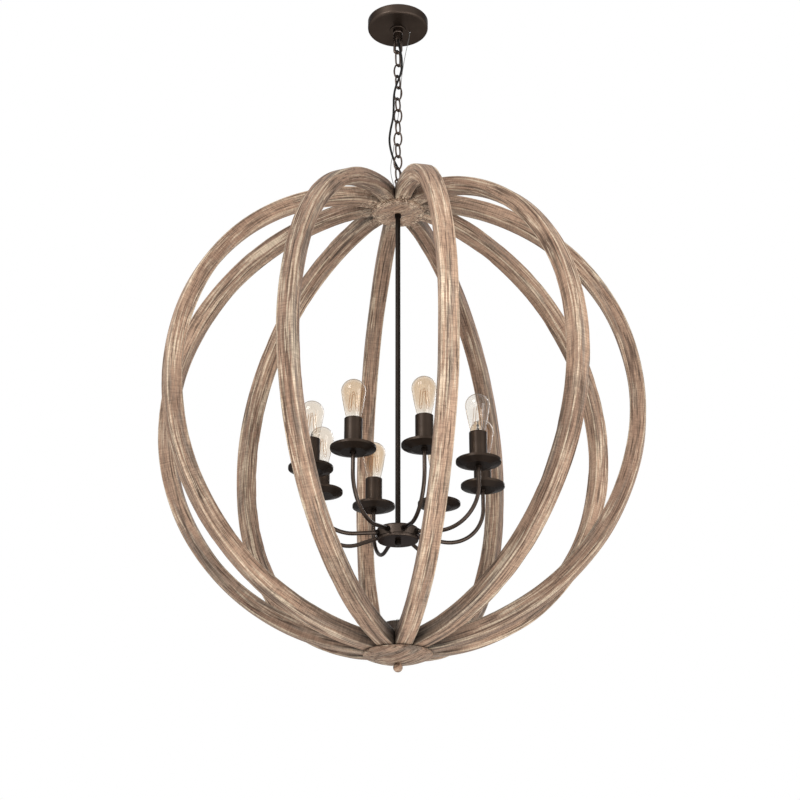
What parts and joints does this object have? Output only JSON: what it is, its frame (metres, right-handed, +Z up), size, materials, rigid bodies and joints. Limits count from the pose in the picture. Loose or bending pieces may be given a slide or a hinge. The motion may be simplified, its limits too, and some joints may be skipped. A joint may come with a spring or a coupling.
{
  "type": "orb chandelier",
  "caption": "Round chandelier of bent wooden ribs that meet in a top and a bottom hub, round a ring of candle lamps, hung by a chain from a ceiling canopy.",
  "frame": {"origin": "middle of the ceiling crossbar's two screw holes, on the ceiling plane", "axes": "+Z up along the chain, +X along the crossbar, -Y towards the viewer of the picture"},
  "size_m": [1.177, 1.1736, 1.7721],
  "materials": {
    "bronze": "dark oil-rubbed bronze paint, satin, with brown highlights",
    "chain_bronze": "dark brown-black plated steel wire",
    "steel": "plain zinc-plated steel",
    "aged_brass": "dull aged brass tube",
    "wood": "weathered grey-brown wood with cream grain streaks and saw marks",
    "wood_turned": "weathered turned wood, sanded",
    "wood_dark": "dark stained wood block",
    "dowel_wood": "plain beech dowel",
    "amber_glass": "amber-tinted clear bulb glass with a filament cage",
    "socket_plastic": "black phenolic lamp socket",
    "cord_black": "black round supply cord",
    "bare_copper": "bare tinned ground wire"
  },
  "bodies": {
    "ceiling_mount": {"crossbar": "steel", "crossbar_nut": "steel", "canopy_nipple": "steel", "canopy_shell": "bronze", "canopy_washer": "bronze", "canopy_ring_nut": "bronze", "canopy_loop": "bronze", "supply_cord": "cord_black", "ground_wire": "bare_copper"},
    "link_01": {"chain_link_01": "chain_bronze"},
    "link_02": {"chain_link_02": "chain_bronze"},
    "link_03": {"chain_link_03": "chain_bronze"},
    "link_04": {"chain_link_04": "chain_bronze"},
    "link_05": {"chain_link_05": "chain_bronze"},
    "link_06": {"chain_link_06": "chain_bronze"},
    "link_07": {"chain_link_07": "chain_bronze"},
    "link_08": {"chain_link_08": "chain_bronze"},
    "link_09": {"chain_link_09": "chain_bronze"},
    "link_10": {"chain_link_10": "chain_bronze"},
    "link_11": {"chain_link_11": "chain_bronze"},
    "orb": {"hub_eye": "bronze", "hub_tube": "aged_brass", "hub_washer": "steel", "hub_nut": "steel", "top_hub": "wood_turned", "rib_dowels": "dowel_wood", "stem": "bronze", "stem_collars": "bronze", "arm_hub_body": "bronze", "arm_hub_nipple": "steel", "arm_hub_cover": "bronze", "arm_hub_knob": "bronze", "lamp_arms": "bronze", "arm_bosses": "bronze", "pan_nuts": "bronze", "drip_pans": "bronze", "candle_sleeves": "bronze", "lamp_sockets": "socket_plastic", "bottom_core": "wood_dark", "bottom_disc": "wood_turned", "bottom_rod": "steel", "finial_ball": "wood_turned", "rib_01": "wood", "rib_02": "wood", "rib_03": "wood", "rib_04": "wood", "rib_05": "wood", "rib_06": "wood", "rib_07": "wood", "rib_08": "wood", "rib_09": "wood", "rib_10": "wood"},
    "lamp_1": {"bulb_1": "amber_glass"},
    "lamp_2": {"bulb_2": "amber_glass"},
    "lamp_3": {"bulb_3": "amber_glass"},
    "lamp_4": {"bulb_4": "amber_glass"},
    "lamp_5": {"bulb_5": "amber_glass"},
    "lamp_6": {"bulb_6": "amber_glass"},
    "lamp_7": {"bulb_7": "amber_glass"},
    "lamp_8": {"bulb_8": "amber_glass"}
  },
  "joints": [
    {"name": "link_01_swing", "type": "hinge", "parent": "ceiling_mount", "child": "link_01", "pos_m": [0, 0, -0.09895], "axis": [0.9848, -0.1736, 0], "range_deg": [-6, 6], "deforming": ["supply_cord", "ground_wire"]},
    {"name": "link_02_swing", "type": "hinge", "parent": "link_01", "child": "link_02", "pos_m": [0, 0, -0.14015], "axis": [0.5736, 0.8192, 0], "range_deg": [-6, 6]},
    {"name": "link_03_swing", "type": "hinge", "parent": "link_02", "child": "link_03", "pos_m": [0, 0, -0.17505], "axis": [0.9848, -0.1736, 0], "range_deg": [-6, 6]},
    {"name": "link_04_swing", "type": "hinge", "parent": "link_03", "child": "link_04", "pos_m": [0, 0, -0.20995], "axis": [0.5736, 0.8192, 0], "range_deg": [-6, 6]},
    {"name": "link_05_swing", "type": "hinge", "parent": "link_04", "child": "link_05", "pos_m": [0, 0, -0.24485], "axis": [0.9848, -0.1736, 0], "range_deg": [-6, 6]},
    {"name": "link_06_swing", "type": "hinge", "parent": "link_05", "child": "link_06", "pos_m": [0, 0, -0.27975], "axis": [0.5736, 0.8192, 0], "range_deg": [-6, 6]},
    {"name": "link_07_swing", "type": "hinge", "parent": "link_06", "child": "link_07", "pos_m": [0, 0, -0.31465], "axis": [0.9848, -0.1736, 0], "range_deg": [-6, 6]},
    {"name": "link_08_swing", "type": "hinge", "parent": "link_07", "child": "link_08", "pos_m": [0, 0, -0.34955], "axis": [0.5736, 0.8192, 0], "range_deg": [-6, 6]},
    {"name": "link_09_swing", "type": "hinge", "parent": "link_08", "child": "link_09", "pos_m": [0, 0, -0.38445], "axis": [0.9848, -0.1736, 0], "range_deg": [-6, 6]},
    {"name": "link_10_swing", "type": "hinge", "parent": "link_09", "child": "link_10", "pos_m": [0, 0, -0.41935], "axis": [0.5736, 0.8192, 0], "range_deg": [-6, 6]},
    {"name": "link_11_swing", "type": "hinge", "parent": "link_10", "child": "link_11", "pos_m": [0, 0, -0.45425], "axis": [0.9848, -0.1736, 0], "range_deg": [-6, 6]},
    {"name": "orb_swing", "type": "hinge", "parent": "link_11", "child": "orb", "pos_m": [0, 0, -0.48915], "axis": [0.5736, 0.8192, 0], "range_deg": [-6, 6]},
    {"name": "bulb_1_turn", "type": "hinge", "parent": "orb", "child": "lamp_1", "pos_m": [0.06014, -0.20433, -1.232], "axis": [0, 0, 1], "range_deg": [0, 180]},
    {"name": "bulb_2_turn", "type": "hinge", "parent": "orb", "child": "lamp_2", "pos_m": [0.18701, -0.10196, -1.232], "axis": [0, 0, 1], "range_deg": [0, 180]},
    {"name": "bulb_3_turn", "type": "hinge", "parent": "orb", "child": "lamp_3", "pos_m": [0.20433, 0.06014, -1.232], "axis": [0, 0, 1], "range_deg": [0, 180]},
    {"name": "bulb_4_turn", "type": "hinge", "parent": "orb", "child": "lamp_4", "pos_m": [0.10196, 0.18701, -1.232], "axis": [0, 0, 1], "range_deg": [0, 180]},
    {"name": "bulb_5_turn", "type": "hinge", "parent": "orb", "child": "lamp_5", "pos_m": [-0.06014, 0.20433, -1.232], "axis": [0, 0, 1], "range_deg": [0, 180]},
    {"name": "bulb_6_turn", "type": "hinge", "parent": "orb", "child": "lamp_6", "pos_m": [-0.18701, 0.10196, -1.232], "axis": [0, 0, 1], "range_deg": [0, 180]},
    {"name": "bulb_7_turn", "type": "hinge", "parent": "orb", "child": "lamp_7", "pos_m": [-0.20433, -0.06014, -1.232], "axis": [0, 0, 1], "range_deg": [0, 180]},
    {"name": "bulb_8_turn", "type": "hinge", "parent": "orb", "child": "lamp_8", "pos_m": [-0.10196, -0.18701, -1.232], "axis": [0, 0, 1], "range_deg": [0, 180]}
  ]
}
